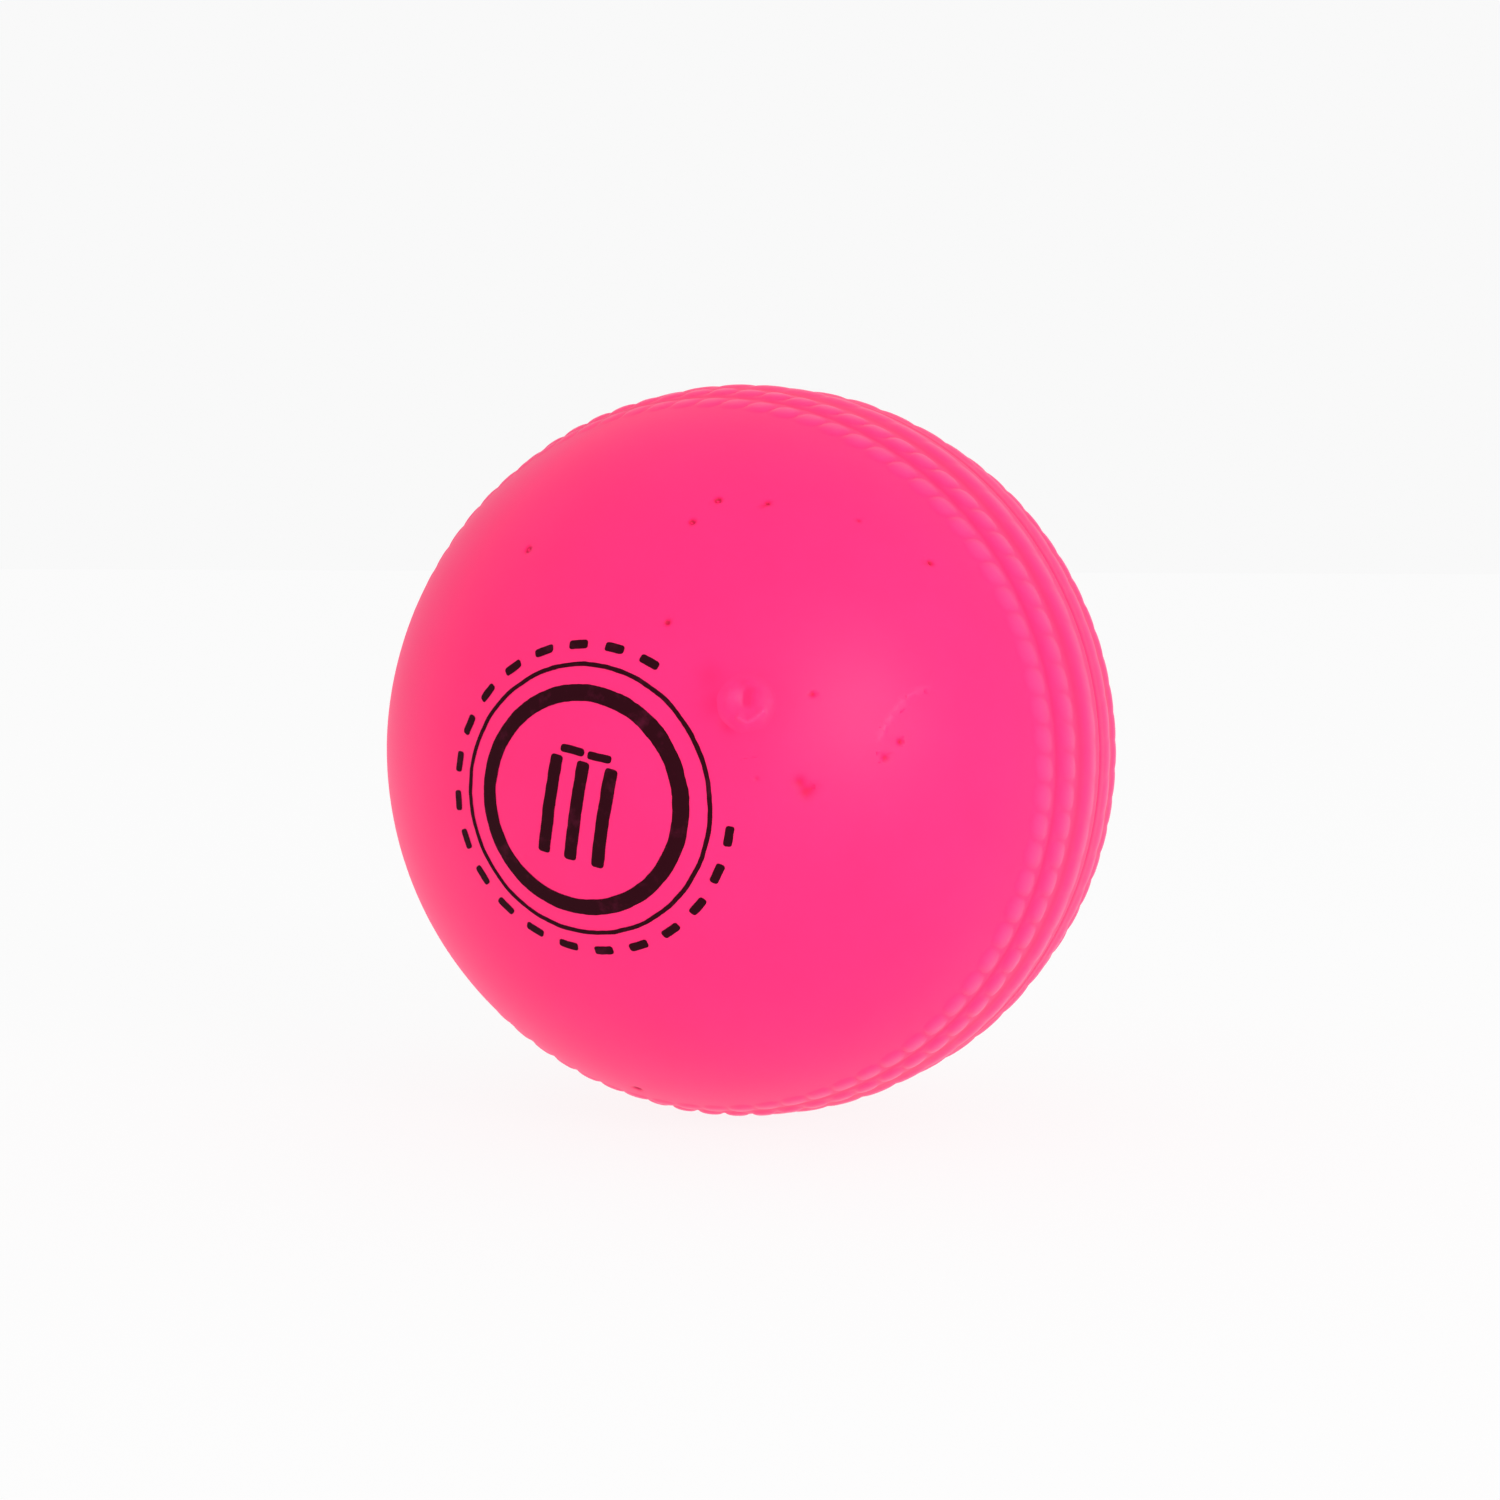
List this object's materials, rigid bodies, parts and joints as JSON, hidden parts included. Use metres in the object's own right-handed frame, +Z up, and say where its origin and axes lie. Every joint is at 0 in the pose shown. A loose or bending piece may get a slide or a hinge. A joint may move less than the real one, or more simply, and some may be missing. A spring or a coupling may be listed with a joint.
{
  "type": "soft cricket ball",
  "caption": "Hollow moulded soft-vinyl practice cricket ball with a raised moulded seam, a plugged air hole and a round printed mark.",
  "frame": {"origin": "the centre of the ball", "axes": "+Y along the seam's axis, from the printed half's pole to the plain half's; the seam stands in the XZ plane; +Z up as the printed mark is read"},
  "size_m": [0.0716, 0.0712, 0.0716],
  "materials": {
    "pink_vinyl": "matte",
    "weld_vinyl": "matte",
    "plug_vinyl": "matte",
    "print_ink": "satin"
  },
  "bodies": {
    "root": {"plain_half_shell": "pink_vinyl", "printed_half_shell": "pink_vinyl", "weld_bead": "weld_vinyl", "air_hole_plug": "plug_vinyl", "plug_sealing_disc": "pink_vinyl", "print_ring": "print_ink", "print_hairline_ring": "print_ink", "print_stump_left": "print_ink", "print_stump_middle": "print_ink", "print_stump_right": "print_ink", "print_bail_left": "print_ink", "print_bail_right": "print_ink", "print_dash_01": "print_ink", "print_dash_02": "print_ink", "print_dash_03": "print_ink", "print_dash_04": "print_ink", "print_dash_05": "print_ink", "print_dash_06": "print_ink", "print_dash_07": "print_ink", "print_dash_08": "print_ink", "print_dash_09": "print_ink", "print_dash_10": "print_ink", "print_dash_11": "print_ink", "print_dash_12": "print_ink", "print_dash_13": "print_ink", "print_dash_14": "print_ink", "print_dash_15": "print_ink", "print_dash_16": "print_ink", "print_dash_17": "print_ink", "print_dash_18": "print_ink", "print_dash_19": "print_ink", "print_dash_20": "print_ink"}
  },
  "joints": []
}
